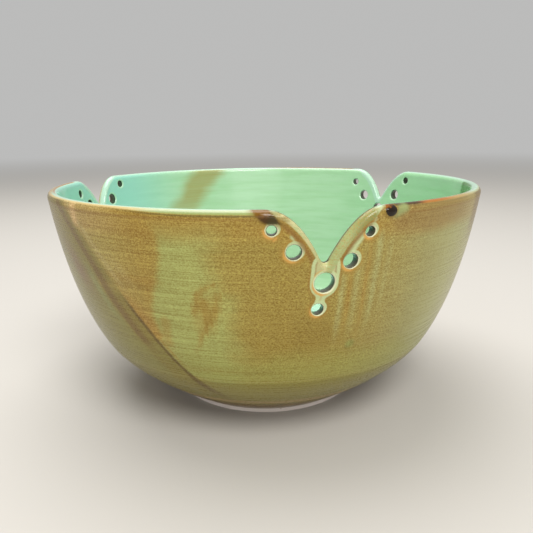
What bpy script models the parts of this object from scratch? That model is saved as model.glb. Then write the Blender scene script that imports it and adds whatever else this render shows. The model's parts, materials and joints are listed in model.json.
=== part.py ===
"""A thrown, notched and pierced yarn bowl, as its three fired layers.

Metres, +Z up. The origin is on the table, on the bowl's axis, and the front notch faces -Y.
The pot is fired in one piece, so nothing here moves. Its layers are separate solids that nest
with a small gap: the stoneware, the pale glaze poured into it and the brown glaze outside it.
"""

import math
from collections import namedtuple

import bmesh
import bpy
from mathutils import Matrix, Vector

# The thrown form
RIM_RADIUS = 0.1
HEIGHT = 0.101
RIM_FLARE = math.radians(7.8)  # lean of the wall from upright, at the rim
RIM_HANDLE = 0.044  # how far that lean carries down the wall
BELLY_RADIUS = 0.0804  # outside, at the bottom of the full part of the wall
BELLY_HEIGHT = 0.032
BELLY_HANDLE = 0.014  # how far the belly's lean carries down towards the foot
WALL = 0.0045
FLAT_FLOOR_RADIUS = 0.02
FLOOR = 0.0045  # clay and glaze between the inside floor and the recess under it

# The trimmed foot
FOOT_RADIUS = 0.045
FOOT_RING_WIDTH = 0.006
FOOT_RECESS = 0.003
FOOT_CHAMFER = 0.0006
BARE_FOOT = 0.002  # height left bare below the outside glaze

# The glazes
GLAZE = 0.0005
GAP = 0.0003  # left between layers that touch on the real pot

# The notches and the holes round them. A hole's place is its turn from the notch, in degrees,
# and how far below the lip its centre lies there.
Notch = namedtuple("Notch", "turn depth half_width upper_holes middle_holes")
NOTCHES = {
    "front": Notch(
        turn=0.2,
        depth=0.0212,  # of the pointed outline, before its tip is rounded
        half_width=0.022,
        upper_holes=((-10.9, 0.0065), (8.8, 0.0070)),
        middle_holes=((-6.6, 0.0102), (5.2, 0.0119)),
    ),
    "right": Notch(
        turn=119.6,
        depth=0.0186,
        half_width=0.0195,
        upper_holes=((-11.0, 0.0051), (11.0, 0.0078)),
        middle_holes=((-6.75, 0.0113), (6.85, 0.0132)),
    ),
    "left": Notch(
        turn=240.2,
        depth=0.018,
        half_width=0.0185,
        upper_holes=((-11.4, 0.0047), (11.4, 0.0064)),
        middle_holes=((-6.2, 0.0097), (6.6, 0.0110)),
    ),
}
NOTCH_POWER = 2.2  # shape of its shoulders: 1 is a plain V
NOTCH_TIP_RADIUS = 0.0018
LIP_GRAZE = 0.92  # share of the half width past which the outline only grazes the lip
UPPER_HOLE_RADIUS = 0.0018
MIDDLE_HOLE_RADIUS = 0.0027
LARGE_HOLE_RADIUS = 0.0037
LOW_HOLE_RADIUS = 0.00225
LARGE_HOLE_BRIDGE = 0.0034  # wall left between the notch's tip and the large hole
LOW_HOLE_BRIDGE = 0.0042  # wall left between the large hole and the lowest one
LOW_HOLE_TURN = -1.0

# How finely the round shapes are cut
SEGMENTS = 48
ARC_STEPS = 4
LIP_STEPS = 4
HOLE_SIDES = 12
NOTCH_STEPS = 5
SAME_POINT = 1e-6  # points nearer to each other than this are one
SHARP_EDGE = math.radians(35)  # a corner sharper than this isn't shaded round

# Materials: colour, roughness
STONEWARE = ((0.72, 0.67, 0.62), 0.8)
PALE_GLAZE = ((0.33, 0.62, 0.36), 0.15)
BROWN_GLAZE = ((0.33, 0.24, 0.09), 0.25)


def quadratic(start, handle, end, steps):
    """Points of the curve that leaves start towards handle and reaches end from it."""
    points = []
    for step in range(steps + 1):
        t = step / steps
        points.append(start * (1 - t) ** 2 + handle * 2 * t * (1 - t) + end * t**2)
    return points


def moved_left(line, distance, lead_in=None):
    """The line moved to its left by this distance, with its corners mitred.

    lead_in is the direction in which the line's first point is reached.
    """
    directions = [(b - a).normalized() for a, b in zip(line, line[1:])]
    before = [lead_in or directions[0]] + directions
    after = directions + directions[-1:]
    moved = []
    for point, first, second in zip(line, before, after):
        left = Vector((-first.y, first.x))
        next_left = Vector((-second.y, second.x))
        moved.append(point + (left + next_left) * distance / (1 + left.dot(next_left)))
    return moved


def moved_inward(line, distance):
    """A line that starts at the glaze line, moved into the wall from the upright foot up."""
    return moved_left(line, distance, lead_in=Vector((0, 1)))


def outer_wall():
    """The outside of the wall, from the glaze line above the foot to the start of the lip."""
    lean = Vector((math.sin(RIM_FLARE), math.cos(RIM_FLARE)))
    across = Vector((-lean.y, lean.x))
    lip_centre = Vector((RIM_RADIUS - WALL / 2, HEIGHT - WALL / 2))
    top = lip_centre - across * WALL / 2
    upper_handle = top - lean * RIM_HANDLE
    belly = Vector((BELLY_RADIUS, BELLY_HEIGHT))
    lower_handle = belly - (upper_handle - belly).normalized() * BELLY_HANDLE
    foot = Vector((FOOT_RADIUS, BARE_FOOT))
    lower = quadratic(foot, lower_handle, belly, ARC_STEPS)
    return lower + quadratic(belly, upper_handle, top, ARC_STEPS)[1:]


def lip_arc():
    """The round lip, from the top of the outer wall over to the inner wall."""
    wall = outer_wall()
    lean = (wall[-1] - wall[-2]).normalized()
    across = Vector((-lean.y, lean.x))
    centre = wall[-1] + across * WALL / 2
    points = []
    for step in range(1, LIP_STEPS):
        angle = math.pi * step / LIP_STEPS
        points.append(centre + (lean * math.sin(angle) - across * math.cos(angle)) * WALL / 2)
    return points


def inner_wall():
    """The inside, from the lip down to where the wall eases into the flat floor."""
    outside = outer_wall()
    inside = moved_inward(outside, WALL)[ARC_STEPS // 2 :]
    inside.reverse()
    floor_height = FOOT_RECESS + FLOOR
    start = inside[-1]
    lean = inside[-2] - start
    corner_radius = start.x - lean.x / lean.y * (start.y - floor_height)
    corner = Vector((corner_radius, floor_height))
    end = Vector((min(FLAT_FLOOR_RADIUS, corner_radius), floor_height))
    return inside + quadratic(start, corner, end, ARC_STEPS)[1:] + [Vector((0, floor_height))]


def glazed_line():
    """All that is glazed, from the line above the foot, over the lip, to the inside floor."""
    return outer_wall() + lip_arc() + inner_wall()


def outer_radius(height):
    """The radius of the outer wall at this height."""
    wall = outer_wall()
    for low, high in zip(wall, wall[1:]):
        if height <= high.y:
            break
    share = (height - low.y) / (high.y - low.y)
    return low.x + (high.x - low.x) * share


def notch_drop(notch, degrees):
    """How far the notch's pointed outline lies below the rim, this far round from its middle."""
    along = RIM_RADIUS * math.radians(abs(degrees))
    return notch.depth * max(0, 1 - along / notch.half_width) ** NOTCH_POWER


def tip_half_angle(notch):
    return math.atan2(notch.half_width, notch.depth * NOTCH_POWER)


def tip_drop(notch):
    """The drop of the rounded tip, which sits a little above the pointed outline's."""
    return notch.depth - NOTCH_TIP_RADIUS * (1 / math.sin(tip_half_angle(notch)) - 1)


def notch_outline(notch):
    """The notch from outside, as (along the rim, height), down its right side and up its left."""
    shoulder = notch.half_width * LIP_GRAZE
    tangent = NOTCH_TIP_RADIUS * math.cos(tip_half_angle(notch))
    right = [Vector((shoulder, HEIGHT + WALL))]
    for step in range(NOTCH_STEPS + 1):
        along = shoulder + (tangent - shoulder) * step / NOTCH_STEPS
        drop = notch_drop(notch, math.degrees(along / RIM_RADIUS))
        right.append(Vector((along, HEIGHT - drop)))
    left = [Vector((-point.x, point.y)) for point in reversed(right)]
    return right + [Vector((0, HEIGHT - tip_drop(notch)))] + left


def new_object(name, mesh_builder):
    """An object whose mesh is what mesh_builder makes, with its faces pointing out."""
    builder = bmesh.new()
    mesh_builder(builder)
    bmesh.ops.recalc_face_normals(builder, faces=builder.faces)
    mesh = bpy.data.meshes.new(name)
    builder.to_mesh(mesh)
    builder.free()
    made = bpy.data.objects.new(name, mesh)
    bpy.context.scene.collection.objects.link(made)
    return made


def as_cutter(made):
    made.hide_render = True
    made.display_type = "WIRE"
    return made


def turned(name, line):
    """A solid of revolution whose half outline runs from the axis back to the axis."""

    def build(builder):
        corners = [builder.verts.new((point.x, 0, point.y)) for point in line]
        edges = [builder.edges.new(pair) for pair in zip(corners, corners[1:])]
        bmesh.ops.spin(
            builder,
            geom=corners + edges,
            axis=(0, 0, 1),
            cent=(0, 0, 0),
            steps=SEGMENTS,
            angle=2 * math.pi,
            use_merge=True,
        )
        bmesh.ops.remove_doubles(builder, verts=builder.verts, dist=SAME_POINT)

    return new_object(name, build)


def hole_places(notch):
    """(turn in degrees, height, radius) of the six holes round a notch."""
    places = []
    for radius, holes in (
        (UPPER_HOLE_RADIUS, notch.upper_holes),
        (MIDDLE_HOLE_RADIUS, notch.middle_holes),
    ):
        for turn, below_lip in holes:
            drop = notch_drop(notch, turn) + below_lip
            places.append((notch.turn + turn, HEIGHT - drop, radius))
    large_drop = tip_drop(notch) + LARGE_HOLE_BRIDGE + LARGE_HOLE_RADIUS
    low_drop = large_drop + LARGE_HOLE_RADIUS + LOW_HOLE_BRIDGE + LOW_HOLE_RADIUS
    places.append((notch.turn, HEIGHT - large_drop, LARGE_HOLE_RADIUS))
    places.append((notch.turn + LOW_HOLE_TURN, HEIGHT - low_drop, LOW_HOLE_RADIUS))
    return places


def add_hole(builder, turn, height, radius, grow):
    """A round bar that runs straight out from the bowl's axis, through the wall."""
    place = (
        Matrix.Rotation(math.radians(turn), 4, "Z")
        @ Matrix.Translation((0, -outer_radius(height), height))
        @ Matrix.Rotation(math.pi / 2, 4, "X")
    )
    bmesh.ops.create_cone(
        builder,
        cap_ends=True,
        segments=HOLE_SIDES,
        radius1=radius + grow,
        radius2=radius + grow,
        depth=4 * (WALL + radius),
        matrix=place,
    )


def add_notch(builder, notch, grow):
    """The notch's outline, extruded inwards from outside the rim to inside the wall."""
    outline = moved_left(notch_outline(notch), grow)
    outside = RIM_RADIUS + notch.depth
    corners = [builder.verts.new((point.x, -outside, point.y)) for point in outline]
    face = builder.faces.new(corners)
    extruded = bmesh.ops.extrude_face_region(builder, geom=[face])["geom"]
    inner = [part for part in extruded if isinstance(part, bmesh.types.BMVert)]
    bmesh.ops.translate(builder, vec=(0, 2 * notch.depth, 0), verts=inner)
    turn = Matrix.Rotation(math.radians(notch.turn), 3, "Z")
    bmesh.ops.rotate(builder, cent=(0, 0, 0), matrix=turn, verts=corners + inner)


def openings_cutter(name, grow):
    """The three notches and eighteen holes as one cutter, each wider all round by grow."""

    def build(builder):
        for notch in NOTCHES.values():
            add_notch(builder, notch, grow)
            for turn, height, radius in hole_places(notch):
                add_hole(builder, turn, height, radius, grow)

    return as_cutter(new_object(name, build))


def add_boolean(target, operation, other):
    modifier = target.modifiers.new(other.name, "BOOLEAN")
    modifier.operation = operation
    modifier.solver = "EXACT"
    modifier.object = other


def finish(made, colour, roughness):
    """Smooth shading with sharp cut edges, and a material named after the layer."""
    made.data.shade_smooth()
    made.data.set_sharp_from_angle(angle=SHARP_EDGE)
    material = bpy.data.materials.new(made.name)
    material.use_nodes = True
    shader = material.node_tree.nodes["Principled BSDF"]
    shader.inputs["Base Color"].default_value = (*colour, 1)
    shader.inputs["Roughness"].default_value = roughness
    made.data.materials.append(material)


def stoneware_body():
    """The fired clay: wall, floor and foot, drawn in under the glazes all round."""
    inset = GLAZE + GAP
    ring_inside = FOOT_RADIUS - FOOT_RING_WIDTH
    shelf = BARE_FOOT - GAP
    foot = [
        Vector((0, FOOT_RECESS)),
        Vector((ring_inside, FOOT_RECESS)),
        Vector((ring_inside, FOOT_CHAMFER)),
        Vector((ring_inside + FOOT_CHAMFER, 0)),
        Vector((FOOT_RADIUS - FOOT_CHAMFER, 0)),
        Vector((FOOT_RADIUS, FOOT_CHAMFER)),
        Vector((FOOT_RADIUS, shelf)),
        Vector((FOOT_RADIUS - inset, shelf)),
    ]
    clay = turned("stoneware_body", foot + moved_inward(glazed_line(), inset))
    add_boolean(clay, "DIFFERENCE", openings_cutter("clay_openings", inset))
    return clay


def glaze_shell(name):
    """All the glaze, as one thin skin that is open at the foot."""
    skin = turned(name, [Vector((0, BARE_FOOT))] + glazed_line())
    add_boolean(skin, "DIFFERENCE", openings_cutter(name + "_openings", 0))
    below = [Vector((0, 0)), Vector((FOOT_RADIUS - GLAZE, 0))]
    core = as_cutter(turned(name + "_core", below + moved_inward(glazed_line(), GLAZE)))
    add_boolean(core, "DIFFERENCE", openings_cutter(name + "_core_openings", GLAZE))
    add_boolean(skin, "DIFFERENCE", core)
    return skin


def inner_plug(name, depth):
    """All that lies further in than this depth below the outer wall, up past the rim."""
    line = moved_inward(outer_wall(), depth)
    above = HEIGHT + WALL
    line = [Vector((0, line[0].y))] + line + [Vector((line[-1].x, above)), Vector((0, above))]
    return as_cutter(turned(name, line))


def glazes():
    """The pale glaze inside and the brown glaze outside, which meet half-way through the wall."""
    inside = glaze_shell("inside_glaze")
    add_boolean(inside, "INTERSECT", inner_plug("inside_of_the_wall", WALL / 2 + GAP / 2))
    outside = glaze_shell("outside_glaze")
    add_boolean(outside, "DIFFERENCE", inner_plug("past_the_outside_half", WALL / 2 - GAP / 2))
    return inside, outside


def main():
    for old in list(bpy.data.objects):
        bpy.data.objects.remove(old)
    body = stoneware_body()
    inside, outside = glazes()
    finish(body, *STONEWARE)
    finish(inside, *PALE_GLAZE)
    finish(outside, *BROWN_GLAZE)


main()
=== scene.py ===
# %% [markdown]
# # A thrown yarn bowl, glazed green inside and olive brown outside
#
# A yarn bowl keeps a ball of wool from rolling away: the strand runs out through a notch in the
# rim, or through one of the holes round it. It is one pot, thrown on a wheel, cut while the clay
# is firm, and fired with a pale glaze inside and a brown one outside. This script gives its plain
# solids their looks. Lengths are metres, +Z is up along the bowl's axis, the front notch faces -Y.

# %% Load the plain solids and measure them
import json
import math
from collections import namedtuple
from functools import partialmethod, reduce

import bpy
import numpy as np
from mathutils import Matrix, Vector

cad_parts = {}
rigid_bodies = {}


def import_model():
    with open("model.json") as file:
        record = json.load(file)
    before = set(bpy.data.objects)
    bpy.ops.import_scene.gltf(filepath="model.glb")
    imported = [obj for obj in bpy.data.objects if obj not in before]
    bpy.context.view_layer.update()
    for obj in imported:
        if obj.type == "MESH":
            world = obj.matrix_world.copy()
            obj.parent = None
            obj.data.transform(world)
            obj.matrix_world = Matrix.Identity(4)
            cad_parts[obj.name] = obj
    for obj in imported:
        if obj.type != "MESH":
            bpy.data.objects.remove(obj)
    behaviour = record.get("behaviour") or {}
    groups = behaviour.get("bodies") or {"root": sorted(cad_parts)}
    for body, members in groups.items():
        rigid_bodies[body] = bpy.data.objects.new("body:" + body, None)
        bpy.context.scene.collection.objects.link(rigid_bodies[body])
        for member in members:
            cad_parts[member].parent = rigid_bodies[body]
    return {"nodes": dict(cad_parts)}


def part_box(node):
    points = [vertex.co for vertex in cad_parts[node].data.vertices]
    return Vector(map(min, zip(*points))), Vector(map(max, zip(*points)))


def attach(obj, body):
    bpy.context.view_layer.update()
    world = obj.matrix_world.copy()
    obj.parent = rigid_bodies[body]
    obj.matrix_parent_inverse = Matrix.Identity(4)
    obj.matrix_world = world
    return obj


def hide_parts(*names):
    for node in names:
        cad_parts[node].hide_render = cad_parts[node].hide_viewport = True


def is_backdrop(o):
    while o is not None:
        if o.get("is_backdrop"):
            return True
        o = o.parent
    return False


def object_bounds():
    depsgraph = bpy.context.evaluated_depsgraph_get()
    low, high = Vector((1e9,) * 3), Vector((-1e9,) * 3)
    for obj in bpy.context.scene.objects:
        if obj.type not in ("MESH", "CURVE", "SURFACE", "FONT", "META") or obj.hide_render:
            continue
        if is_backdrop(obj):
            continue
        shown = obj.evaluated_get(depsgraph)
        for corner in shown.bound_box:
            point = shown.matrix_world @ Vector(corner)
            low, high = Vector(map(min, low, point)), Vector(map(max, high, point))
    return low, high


for old in list(bpy.data.objects):
    bpy.data.objects.remove(old)
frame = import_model()
cad_low, cad_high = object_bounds()
bpy.ops.object.select_all(action="DESELECT")

RIM_RADIUS = cad_high.x
HEIGHT = cad_high.z
BARE_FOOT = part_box("outside_glaze")[0].z  # height left bare below the outside glaze
print(f"{len(frame['nodes'])} solids, {2 * RIM_RADIUS:.4f} m across and {HEIGHT:.4f} m high")

# %% [markdown]
# ## The sizes that the solids don't tell
#
# A solid's box gives its outer sizes only, so the design sizes of the wall, notches and holes are
# named here once more. A hole's place is its turn from the middle of its notch, in degrees, and
# how far below the lip its centre lies there.

# %% The wall, the foot and the notches
RIM_FLARE = math.radians(7.8)  # lean of the wall from upright, at the rim
RIM_HANDLE = 0.044  # how far that lean carries down the wall
BELLY_RADIUS = 0.0804
BELLY_HEIGHT = 0.032
BELLY_HANDLE = 0.014
WALL = 0.0045
FLAT_FLOOR_RADIUS = 0.02
FLOOR = 0.0045
FOOT_RADIUS = 0.045
FOOT_RING_WIDTH = 0.006
FOOT_RECESS = 0.003
FOOT_ROUNDING = 0.0006
GLAZE = 0.0005

Notch = namedtuple("Notch", "turn depth half_width upper_holes middle_holes")
NOTCHES = (
    Notch(0.2, 0.0212, 0.022, ((-10.9, 0.0065), (8.8, 0.0070)), ((-6.6, 0.0102), (5.2, 0.0119))),
    Notch(119.6, 0.0186, 0.0195, ((-11, 0.0051), (11, 0.0078)), ((-6.75, 0.0113), (6.85, 0.0132))),
    Notch(240.2, 0.018, 0.0185, ((-11.4, 0.0047), (11.4, 0.0064)), ((-6.2, 0.0097), (6.6, 0.0110))),
)
NOTCH_POWER = 2.2  # shape of its shoulders: 1 is a plain V
NOTCH_TIP_RADIUS = 0.0018
print(f"{len(NOTCHES)} notches, up to {1000 * max(n.depth for n in NOTCHES):.1f} mm deep")

# %% The holes round each notch
UPPER_HOLE, MIDDLE_HOLE, LARGE_HOLE, LOW_HOLE = 0.0018, 0.0027, 0.0037, 0.00225  # radii
LARGE_HOLE_BRIDGE = 0.0034  # wall between the notch's tip and the large hole
LOW_HOLE_BRIDGE = 0.0042  # wall between the large hole and the lowest one
LOW_HOLE_TURN = -1.0

Hole = namedtuple("Hole", "turn height radius")


def notch_drop(notch, along):
    """How far the lip lies below the rim, this far round from the notch's middle."""
    along = np.abs(along)
    drop = notch.depth * np.maximum(0, 1 - along / notch.half_width) ** NOTCH_POWER
    half_angle = math.atan2(notch.half_width, notch.depth * NOTCH_POWER)
    tip = notch.depth - NOTCH_TIP_RADIUS * (1 / math.sin(half_angle) - 1)
    sunk = np.sqrt(np.maximum(0, NOTCH_TIP_RADIUS**2 - along**2))
    rounded = tip - NOTCH_TIP_RADIUS + sunk
    return np.where(along < NOTCH_TIP_RADIUS * math.cos(half_angle), rounded, drop)


def holes_of(notch):
    """The six holes round a notch, each with its turn from the front, height and radius."""
    found = []
    for radius, places in ((UPPER_HOLE, notch.upper_holes), (MIDDLE_HOLE, notch.middle_holes)):
        for turn, below_lip in places:
            drop = notch_drop(notch, RIM_RADIUS * math.radians(turn)) + below_lip
            found.append(Hole(notch.turn + turn, HEIGHT - drop, radius))
    large_drop = notch_drop(notch, 0) + LARGE_HOLE_BRIDGE + LARGE_HOLE
    low_drop = large_drop + LARGE_HOLE + LOW_HOLE_BRIDGE + LOW_HOLE
    found.append(Hole(notch.turn, HEIGHT - large_drop, LARGE_HOLE))
    found.append(Hole(notch.turn + LOW_HOLE_TURN, HEIGHT - low_drop, LOW_HOLE))
    return found


HOLES = [hole for notch in NOTCHES for hole in holes_of(notch)]
print(f"{len(HOLES)} holes")

# %% [markdown]
# ## The half outline of the pot
#
# A pot pulled up on a wheel is round at every level, so one half outline says the whole form. It
# could be a Bezier curve object. Here it is worked out as points, because the notches and holes
# need to know how far out the wall is at any height. Two parabolas make the wall, a half circle
# makes the lip, and the inside is the outside moved in by the wall's thickness.

# %% Work out the wall
LOWER_STEPS, UPPER_STEPS = 26, 74


def parabola(start, handle, end, steps, crowd=0):
    """Points from start to end. A crowd above 0 packs them closer towards the end."""
    even = np.linspace(0, 1, steps + 1)
    t = (even * (1 + crowd * (1 - even)))[:, None]
    start, handle, end = (np.array(point) for point in (start, handle, end))
    return start * (1 - t) ** 2 + handle * 2 * t * (1 - t) + end * t**2


LEAN = np.array((math.sin(RIM_FLARE), math.cos(RIM_FLARE)))
ACROSS = np.array((-LEAN[1], LEAN[0]))  # from the outer wall into the lip
LIP_CENTRE = np.array((RIM_RADIUS - WALL / 2, HEIGHT - WALL / 2))
WALL_TOP = LIP_CENTRE - ACROSS * WALL / 2


def outer_wall(lower_steps, upper_steps):
    """The outside as (radius, height), from the glaze line above the foot to the lip."""
    upper_handle = WALL_TOP - LEAN * RIM_HANDLE
    belly = np.array((BELLY_RADIUS, BELLY_HEIGHT))
    slope = (upper_handle - belly) / np.linalg.norm(upper_handle - belly)
    lower_handle = belly - slope * BELLY_HANDLE
    lower = parabola((FOOT_RADIUS, BARE_FOOT), lower_handle, belly, lower_steps)
    upper = parabola(belly, upper_handle, WALL_TOP, upper_steps, crowd=0.5)
    return np.concatenate([lower, upper[1:]])


OUTER_WALL = outer_wall(LOWER_STEPS, UPPER_STEPS)


def outer_radius(height):
    """How far out the outer wall is at this height. Past the wall's top it keeps its lean."""
    past_top = WALL_TOP + LEAN * WALL
    radii = np.append(OUTER_WALL[:, 0], past_top[0])
    return np.interp(height, np.append(OUTER_WALL[:, 1], past_top[1]), radii)


print(f"Belly {2000 * outer_radius(BELLY_HEIGHT):.1f} mm across at {1000 * BELLY_HEIGHT:.0f} mm")

# %% Work out the lip, the inside and the foot
LIP_ANGLES = (20, 40, 58, 73, 84, 90, 96, 107, 122, 140, 160)  # round from the outer wall
RING_PITCH = 0.0062  # the potter's fingers leave a faint ring inside at each turn of the wheel
RING_DEPTH = 0.00002
RING_EASING = 0.01  # the rings fade out over this height below the lip


def lip_arc(angles):
    points = []
    for angle in map(math.radians, angles):
        points.append(LIP_CENTRE + (LEAN * math.sin(angle) - ACROSS * math.cos(angle)) * WALL / 2)
    return points


def inner_wall(lower_steps, upper_steps, floor_steps):
    """The inside, from the lip down to the flat floor and in to the axis."""
    outside = outer_wall(lower_steps, upper_steps)
    along = np.gradient(outside, axis=0)
    along /= np.linalg.norm(along, axis=1)[:, None]
    inward = np.stack([-along[:, 1], along[:, 0]], axis=1)
    heights = outside[:, 1]
    easing = np.clip((WALL_TOP[1] - heights) / RING_EASING, 0, 1)
    ripple = RING_DEPTH * easing * np.sin(2 * math.pi * heights / RING_PITCH)
    inside = (outside + inward * (WALL + ripple)[:, None])[lower_steps // 2 :][::-1]
    floor_height = FOOT_RECESS + FLOOR
    start = inside[-1]
    lean = inside[-2] - start
    corner = np.array((start[0] - lean[0] / lean[1] * (start[1] - floor_height), floor_height))
    ease = parabola(start, corner, (FLAT_FLOOR_RADIUS, floor_height), floor_steps)[1:]
    flat = [(FLAT_FLOOR_RADIUS * share, floor_height) for share in (0.75, 0.5, 0.25, 0.1, 0)]
    return np.concatenate([inside, ease, flat])


def bare_foot(groove_pitch, groove_depth):
    """The underside and the foot ring: trimming grooves, then the ring with rounded edges."""
    ring_inside = FOOT_RADIUS - FOOT_RING_WIDTH
    corner = np.array((ring_inside, FOOT_RECESS))
    line = [(0, FOOT_RECESS)]
    for radius in np.arange(0.002, ring_inside - 2 * FOOT_ROUNDING, groove_pitch / 4):
        rise = groove_depth * abs(math.sin(math.pi * radius / groove_pitch))
        line.append((radius, FOOT_RECESS + rise))
    rounding = FOOT_ROUNDING
    inner_bend = parabola(corner - (rounding, 0), corner, corner - (0, rounding), 4)
    inner_edge = parabola((ring_inside, rounding), (ring_inside, 0), (ring_inside + rounding, 0), 4)
    outer_edge = parabola((FOOT_RADIUS - rounding, 0), (FOOT_RADIUS, 0), (FOOT_RADIUS, rounding), 4)
    return np.concatenate([line, inner_bend, inner_edge, outer_edge])


print(f"The outline's lip has {len(LIP_ANGLES)} points and ends at the axis")

# %% [markdown]
# ## From outline to pot
#
# The quickest way to a round form in Blender is to trace its half outline with one vertex that is
# extruded from point to point, and to spin that line round the axis. A Screw modifier would do the
# same, but the notches need the finished mesh. The drills for the holes are made alike.

# %% Trace a line and spin it
SAME_POINT = 1e-6


def select_only(*pieces):
    bpy.ops.object.select_all(action="DESELECT")
    for piece in pieces:
        piece.select_set(True)
        bpy.context.view_layer.objects.active = piece


def trace(name, line):
    """A new object: one vertex, extruded along the (out, up) points of a half outline."""
    select_only()
    bpy.ops.mesh.primitive_plane_add(size=WALL)
    traced = bpy.context.object
    traced.name = name
    bpy.ops.object.mode_set(mode="EDIT")
    bpy.ops.mesh.merge(type="CENTER")
    bpy.ops.transform.translate(value=(line[0][0], 0, line[0][1]))
    for here, following in zip(line, line[1:]):
        step = (following[0] - here[0], 0, following[1] - here[1])
        bpy.ops.mesh.extrude_region_move(TRANSFORM_OT_translate={"value": step})
    bpy.ops.object.mode_set(mode="OBJECT")
    return traced


def spin(traced, columns, axis=(0, 0, 1)):
    """Spins the traced line once round the axis and closes it."""
    bpy.ops.object.mode_set(mode="EDIT")
    bpy.ops.mesh.select_all(action="SELECT")
    bpy.ops.mesh.spin(steps=columns, angle=2 * math.pi, center=(0, 0, 0), axis=axis)
    bpy.ops.mesh.select_all(action="SELECT")
    bpy.ops.mesh.remove_doubles(threshold=SAME_POINT)
    bpy.ops.mesh.normals_make_consistent(inside=False)
    bpy.ops.object.mode_set(mode="OBJECT")
    return traced


print(f"Ready: trace and spin, which merges points closer than {1e6 * SAME_POINT:.0f} micrometre")

# %% Finish a piece, and read and move its points
ROUND_SHADING = math.radians(38)  # only corners sharper than this stay sharp


def apply_modifier(piece, kind, **settings):
    select_only(piece)
    modifier = piece.modifiers.new(kind, kind)
    for name, value in settings.items():
        setattr(modifier, name, value)
    bpy.ops.object.modifier_apply(modifier=modifier.name)


def give(piece, *finishes):
    """Gives a piece these finishes and no others."""
    piece.data.materials.clear()
    for finish in finishes:
        piece.data.materials.append(finish)


def read_points(piece):
    points = np.empty(len(piece.data.vertices) * 3, np.float32)
    piece.data.vertices.foreach_get("co", points)
    return points.reshape(-1, 3).astype(float)


def write_points(piece, points):
    piece.data.vertices.foreach_set("co", points.astype(np.float32).ravel())
    piece.data.update()


def count_triangles(piece):
    piece.data.calc_loop_triangles()
    return len(piece.data.loop_triangles)


print(f"Corners sharper than {math.degrees(ROUND_SHADING):.0f} degrees will stay sharp")

# %% [markdown]
# ## The notches
#
# The potter cuts each notch with a knife and softens the cut with a wet sponge, so the lip runs
# down into it round and full. A Boolean and a bevel would give two hard edges. Here the rows of
# the lip are moved down instead, and the rows below are squeezed together along the wall's own
# curve. The columns are first crowded towards the notches, where the form needs them.

# %% Pull the lip down into the notches
CROWDING = 0.7  # share by which the columns are closer at a notch than halfway between two
SQUEEZED = 0.06  # height of the wall, below its top, that makes room for the notches


def turned_places(points):
    """(turn from the front in radians, radius) of each point."""
    return np.arctan2(points[:, 0], -points[:, 1]), np.hypot(points[:, 0], points[:, 1])


def placed(turn, radius, height):
    return np.stack([radius * np.sin(turn), -radius * np.cos(turn), height], axis=1)


def wrapped(turn):
    """The same turn, between half a circle left and half a circle right."""
    return (turn + math.pi) % (2 * math.pi) - math.pi


def lip_drop(turn):
    drop = np.zeros_like(turn)
    for notch in NOTCHES:
        along = RIM_RADIUS * wrapped(turn - math.radians(notch.turn))
        drop += notch_drop(notch, along)
    return drop


def pull_down_the_lip(pot):
    points = read_points(pot)
    turn, radius = turned_places(points)
    turn = turn - CROWDING * np.sin(3 * turn) / 3
    height = points[:, 2]
    drop = lip_drop(turn)
    top = WALL_TOP[1]
    base = top - SQUEEZED
    squeezed = base + (height - base) * (SQUEEZED - drop) / SQUEEZED
    lowered = np.where(height > top, height - drop, np.where(height > base, squeezed, height))
    reach = np.minimum(height, top)
    lowered_reach = np.minimum(lowered, top - drop)
    radius = radius + outer_radius(lowered_reach) - outer_radius(reach)
    write_points(pot, placed(turn, np.where(radius < SAME_POINT, 0, radius), lowered))


deepest = max(float(lip_drop(np.array([math.radians(n.turn)]))[0]) for n in NOTCHES)
print(f"The deepest notch goes {1000 * deepest:.1f} mm below the rim")

# %% [markdown]
# ## Beads of glaze
#
# Where the knife leaves the rim, thick glaze has gathered and run a little: one round bead and one
# long, flat one at the front. They stand proud of the wall, so they are made in the mesh, by
# pushing the points of the outer wall outwards under a soft dome.

# %% Raise the beads
Bead = namedtuple("Bead", "turn below_rim half_along half_down rise")
BEADS = (
    Bead(13.2, 0.0021, 0.0024, 0.0026, 0.0009),
    Bead(-12.4, 0.0019, 0.0042, 0.0024, 0.0004),
    Bead(-11.2, 0.0046, 0.0018, 0.0028, 0.00022),
)
BEAD_FULLNESS = 1.2  # a power: below 1 is a button, above 1 eases into the wall


def raise_beads(pot):
    points = read_points(pot)
    turn, radius = turned_places(points)
    outside = radius > outer_radius(points[:, 2]) - WALL / 2
    for bead in BEADS:
        along = wrapped(turn - math.radians(bead.turn)) * RIM_RADIUS / bead.half_along
        down = (HEIGHT - bead.below_rim - points[:, 2]) / bead.half_down
        dome = np.maximum(0, 1 - along**2 - down**2) ** BEAD_FULLNESS
        radius = radius + np.where(outside, bead.rise * dome, 0)
    write_points(pot, placed(turn, radius, points[:, 2]))


print(f"{len(BEADS)} beads, up to {1000 * max(bead.rise for bead in BEADS):.1f} mm proud")

# %% [markdown]
# ## The holes
#
# Each hole was pierced with a tube cutter and its edges were softened with a finger. A plain
# cylinder would leave them sharp, so the cutter is a spool: a straight waist that flares at both
# ends. It is turned for a flat slab and then wrapped on to the curved, leaning wall, so that the
# rounding is even all the way round.

# %% Turn a spool for each hole
HOLE_ROUNDING = 0.0010
HOLE_BUILD_UP = 0.00015  # glaze gathers in a hole and makes it a little smaller
HOLE_ROUNDING_ANGLES = (0, 16, 32, 48, 64)
SPOOL_REACH = 0.0007  # how far the spool stands out of the wall on each side


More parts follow.
